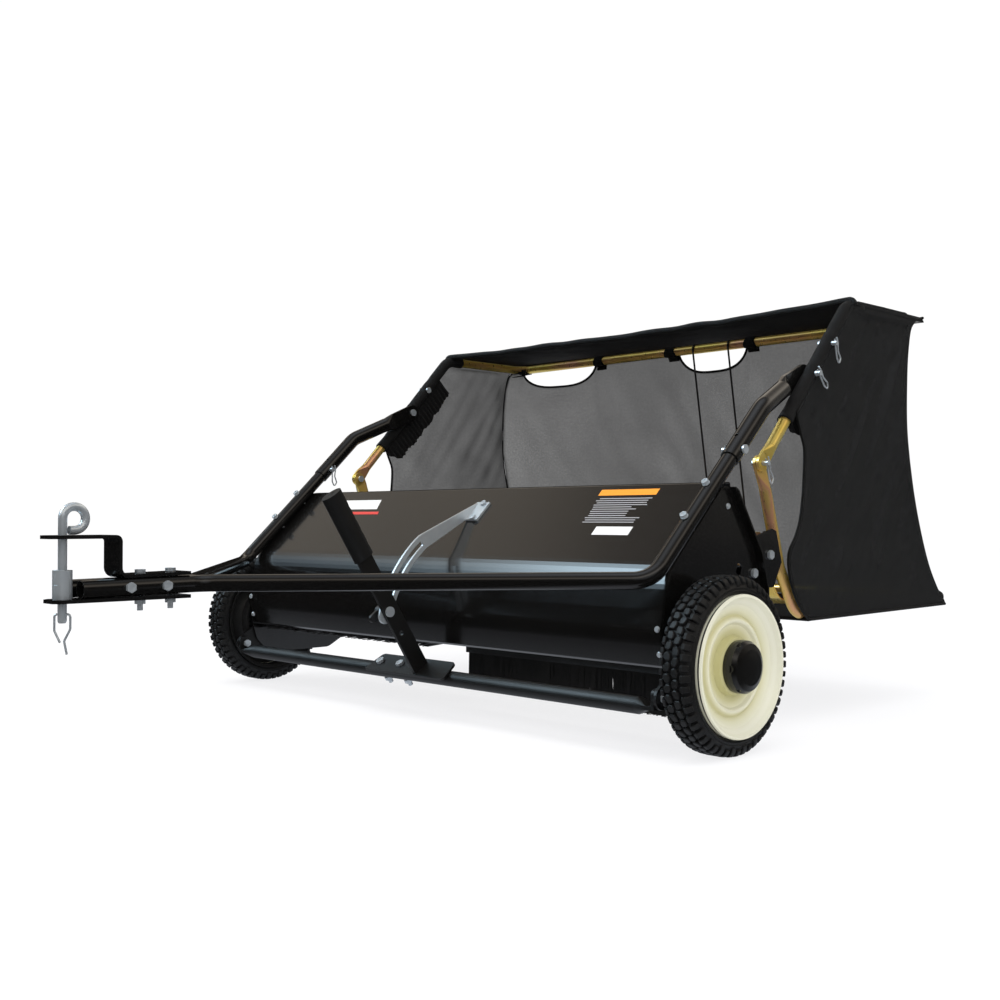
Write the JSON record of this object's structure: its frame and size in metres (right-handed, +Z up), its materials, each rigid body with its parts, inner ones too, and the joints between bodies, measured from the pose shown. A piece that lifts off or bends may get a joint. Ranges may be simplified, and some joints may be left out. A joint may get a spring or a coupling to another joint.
{
  "type": "tow-behind lawn sweeper",
  "caption": "Tow-behind lawn sweeper: wheel-driven brush under a black hood, folding mesh hopper on a tube frame, V drawbar with pin hitch and a lever height adjuster.",
  "frame": {"origin": "on the ground, below the middle of the wheel axle line, midway between the wheels", "axes": "+X across the machine to the left-hand wheel as seen facing the direction of travel is -Y, so +X is on the driver's left; +Y backwards towards the hopper; -Y forwards to the hitch; +Z up"},
  "size_m": [1.242, 1.54, 0.716],
  "materials": {
    "black_paint": "gloss powder coat",
    "zinc": "bright zinc plate",
    "yellow_zinc": "yellow chromate zinc plate",
    "grip_rubber": "satin moulded rubber",
    "black_plastic": "moulded, matt",
    "cap_plastic": "glossy moulded",
    "rim_plastic": "cream, satin",
    "tyre_rubber": "matt rubber",
    "shaft_steel": "oiled steel",
    "channel_steel": "dark paint",
    "bristle": "polypropylene filament",
    "stay_wire": "black paint",
    "mesh_fabric": "woven mesh"
  },
  "bodies": {
    "chassis": {"hood": "black_paint", "side_plate_left": "black_paint", "side_plate_right": "black_paint", "hood_seam_rail": "black_paint", "housing_screws": "zinc", "drawbar_tube_left": "black_paint", "drawbar_tube_right": "black_paint", "drawbar_bolts": "zinc", "hitch_plate_upper": "black_paint", "hitch_plate_lower": "black_paint", "hitch_bolts": "zinc", "hitch_spacers": "zinc", "arm_tube_left": "black_paint", "arm_tube_right": "black_paint", "arm_lock_pins": "zinc", "arm_lock_clips": "zinc", "hopper_pivot_pins": "zinc", "hopper_pivot_clips": "zinc", "hopper_rests": "black_paint", "rest_bolts": "zinc", "shaft_bearings": "black_plastic", "adjuster_strap": "zinc", "strap_bolts": "zinc"},
    "drawpin": {"hitch_pin": "zinc", "hitch_pin_clip": "zinc"},
    "crank": {"lever": "black_paint", "lever_grip": "grip_rubber", "lever_foot": "black_paint", "foot_bolts": "zinc", "clamp_bolt": "zinc", "cross_bar": "black_paint", "wheel_arm_left": "black_paint", "wheel_arm_right": "black_paint", "arm_bolts": "zinc", "wheel_axles": "zinc"},
    "knob": {"wing_knob": "black_plastic"},
    "wheel_left": {"tyre_left": "tyre_rubber", "wheel_rim_left": "rim_plastic", "hub_cap_left": "cap_plastic"},
    "wheel_right": {"tyre_right": "tyre_rubber", "wheel_rim_right": "rim_plastic", "hub_cap_right": "cap_plastic"},
    "pinion_left": {"drive_pinion_left": "black_plastic"},
    "pinion_right": {"drive_pinion_right": "black_plastic"},
    "brush": {"brush_shaft": "shaft_steel", "brush_channels": "channel_steel", "brush_bristles": "bristle"},
    "hopper": {"hopper_upper_frame": "yellow_zinc", "hopper_lower_frame": "yellow_zinc", "hopper_front_plate": "yellow_zinc", "hopper_joint_pins": "zinc", "hopper_joint_clips": "zinc", "hopper_stay_rods": "stay_wire", "hopper_bag": "mesh_fabric"}
  },
  "joints": [
    {"name": "hitch_pin_lift", "type": "slide", "parent": "chassis", "child": "drawpin", "axis": [0, 0, 1], "range_m": [0, 0.012]},
    {"name": "height_adjust", "type": "hinge", "parent": "chassis", "child": "crank", "pos_m": [0, 0.0417, 0.122], "axis": [1, 0, 0], "range_deg": [-20, 2]},
    {"name": "clamp_knob_turn", "type": "hinge", "parent": "crank", "child": "knob", "pos_m": [0, -0.16401, 0.18099], "axis": [1, 0, 0], "continuous": true},
    {"name": "wheel_left_spin", "type": "hinge", "parent": "crank", "child": "wheel_left", "pos_m": [0.57, 0, 0.127], "axis": [1, 0, 0], "continuous": true},
    {"name": "wheel_right_spin", "type": "hinge", "parent": "crank", "child": "wheel_right", "pos_m": [-0.57, 0, 0.127], "axis": [1, 0, 0], "continuous": true},
    {"name": "pinion_left_spin", "type": "hinge", "parent": "crank", "child": "pinion_left", "pos_m": [0.549, 0.0417, 0.122], "axis": [1, 0, 0], "continuous": true},
    {"name": "pinion_right_spin", "type": "hinge", "parent": "crank", "child": "pinion_right", "pos_m": [-0.549, 0.0417, 0.122], "axis": [1, 0, 0], "continuous": true},
    {"name": "brush_spin", "type": "hinge", "parent": "chassis", "child": "brush", "pos_m": [0, 0.0417, 0.122], "axis": [1, 0, 0], "continuous": true},
    {"name": "hopper_dump", "type": "hinge", "parent": "chassis", "child": "hopper", "pos_m": [0, 0.333, 0.5717], "axis": [1, 0, 0], "range_deg": [0, 65]}
  ],
  "couplings": [
    {"joint": "brush_spin", "follows": "wheel_left_spin", "ratio": 3.3333},
    {"joint": "pinion_left_spin", "follows": "wheel_left_spin", "ratio": 3.3333},
    {"joint": "pinion_right_spin", "follows": "wheel_right_spin", "ratio": 3.3333}
  ]
}
